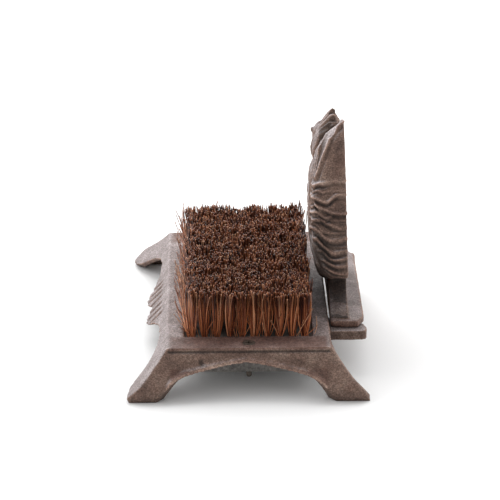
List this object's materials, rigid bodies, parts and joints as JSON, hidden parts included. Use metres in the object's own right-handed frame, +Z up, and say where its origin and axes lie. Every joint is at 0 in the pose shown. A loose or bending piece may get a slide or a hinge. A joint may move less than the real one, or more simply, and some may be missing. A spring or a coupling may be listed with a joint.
{
  "type": "boot brush",
  "caption": "Free-standing cast-iron boot brush: a low footed frame holds a coir brush, with a cast rooster upright bolted along one long side.",
  "frame": {"origin": "centre of the footprint on the ground, midway between the four feet", "axes": "+Z up, +Y along the frame's length (the way the rooster faces), +X towards the upright"},
  "size_m": [0.2118, 0.3218, 0.1972],
  "materials": {
    "cast_iron": "sand-cast iron with a brown rust-toned finish, matt",
    "coir": "stiff coir fibre, red-brown, dull",
    "board": "wood block painted dark grey-green, matt",
    "dark_steel": "dull dark plated steel"
  },
  "bodies": {
    "root": {"frame": "cast_iron", "upright_figure": "cast_iron", "brush_board": "board", "bristle_row_01": "coir", "bristle_row_02": "coir", "bristle_row_03": "coir", "bristle_row_04": "coir", "bristle_row_05": "coir", "bristle_row_06": "coir", "bristle_row_07": "coir", "bristle_row_08": "coir", "bristle_row_09": "coir", "bristle_row_10": "coir", "bristle_row_11": "coir", "bristle_row_12": "coir", "bristle_row_13": "coir", "bristle_row_14": "coir", "bristle_row_15": "coir", "bristle_row_16": "coir", "bristle_row_17": "coir", "bristle_row_18": "coir", "brush_screw_near": "dark_steel", "figure_washer_near": "dark_steel", "figure_bolt_near": "dark_steel", "brush_screw_far": "dark_steel", "figure_washer_far": "dark_steel", "figure_bolt_far": "dark_steel"}
  },
  "joints": []
}
